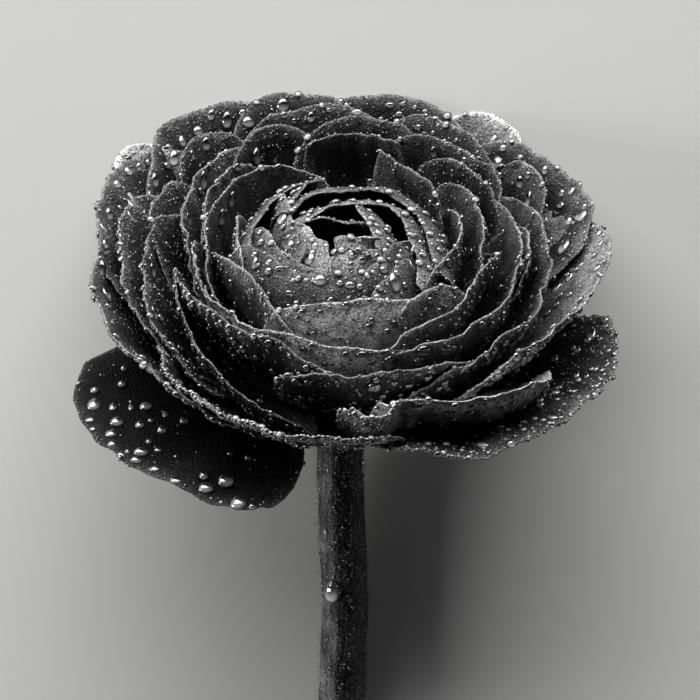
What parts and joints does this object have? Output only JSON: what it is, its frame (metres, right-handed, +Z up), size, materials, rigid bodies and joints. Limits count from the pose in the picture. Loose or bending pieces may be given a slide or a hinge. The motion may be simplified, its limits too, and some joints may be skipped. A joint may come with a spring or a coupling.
{
  "type": "ranunculus flower",
  "caption": "Cut ranunculus lying on its side: an open bloom of many layered petals over spread sepals, on a bare bent stem.",
  "frame": {"origin": "on the surface that the flower lies on, under the middle of its bounding box", "axes": "+Y from the stem's cut end towards the bloom, +X to the right seen from above with the bloom away from the viewer, +Z up off the surface; the face of the bloom looks up and towards +Y"},
  "size_m": [0.0684, 0.1019, 0.0464],
  "materials": {
    "petal": "satin petal tissue in greys, as the black-and-white photo shows it: pale translucent rims, darker towards the base, wet with water drops",
    "sepal": "thin matt leaf tissue in grey, downy on the back",
    "stem": "soft matt green-stem skin in grey, finely ribbed, with short hairs and a few water drops"
  },
  "bodies": {
    "root": {"petals": "petal", "sepals": "sepal", "stem": "stem"}
  },
  "joints": []
}
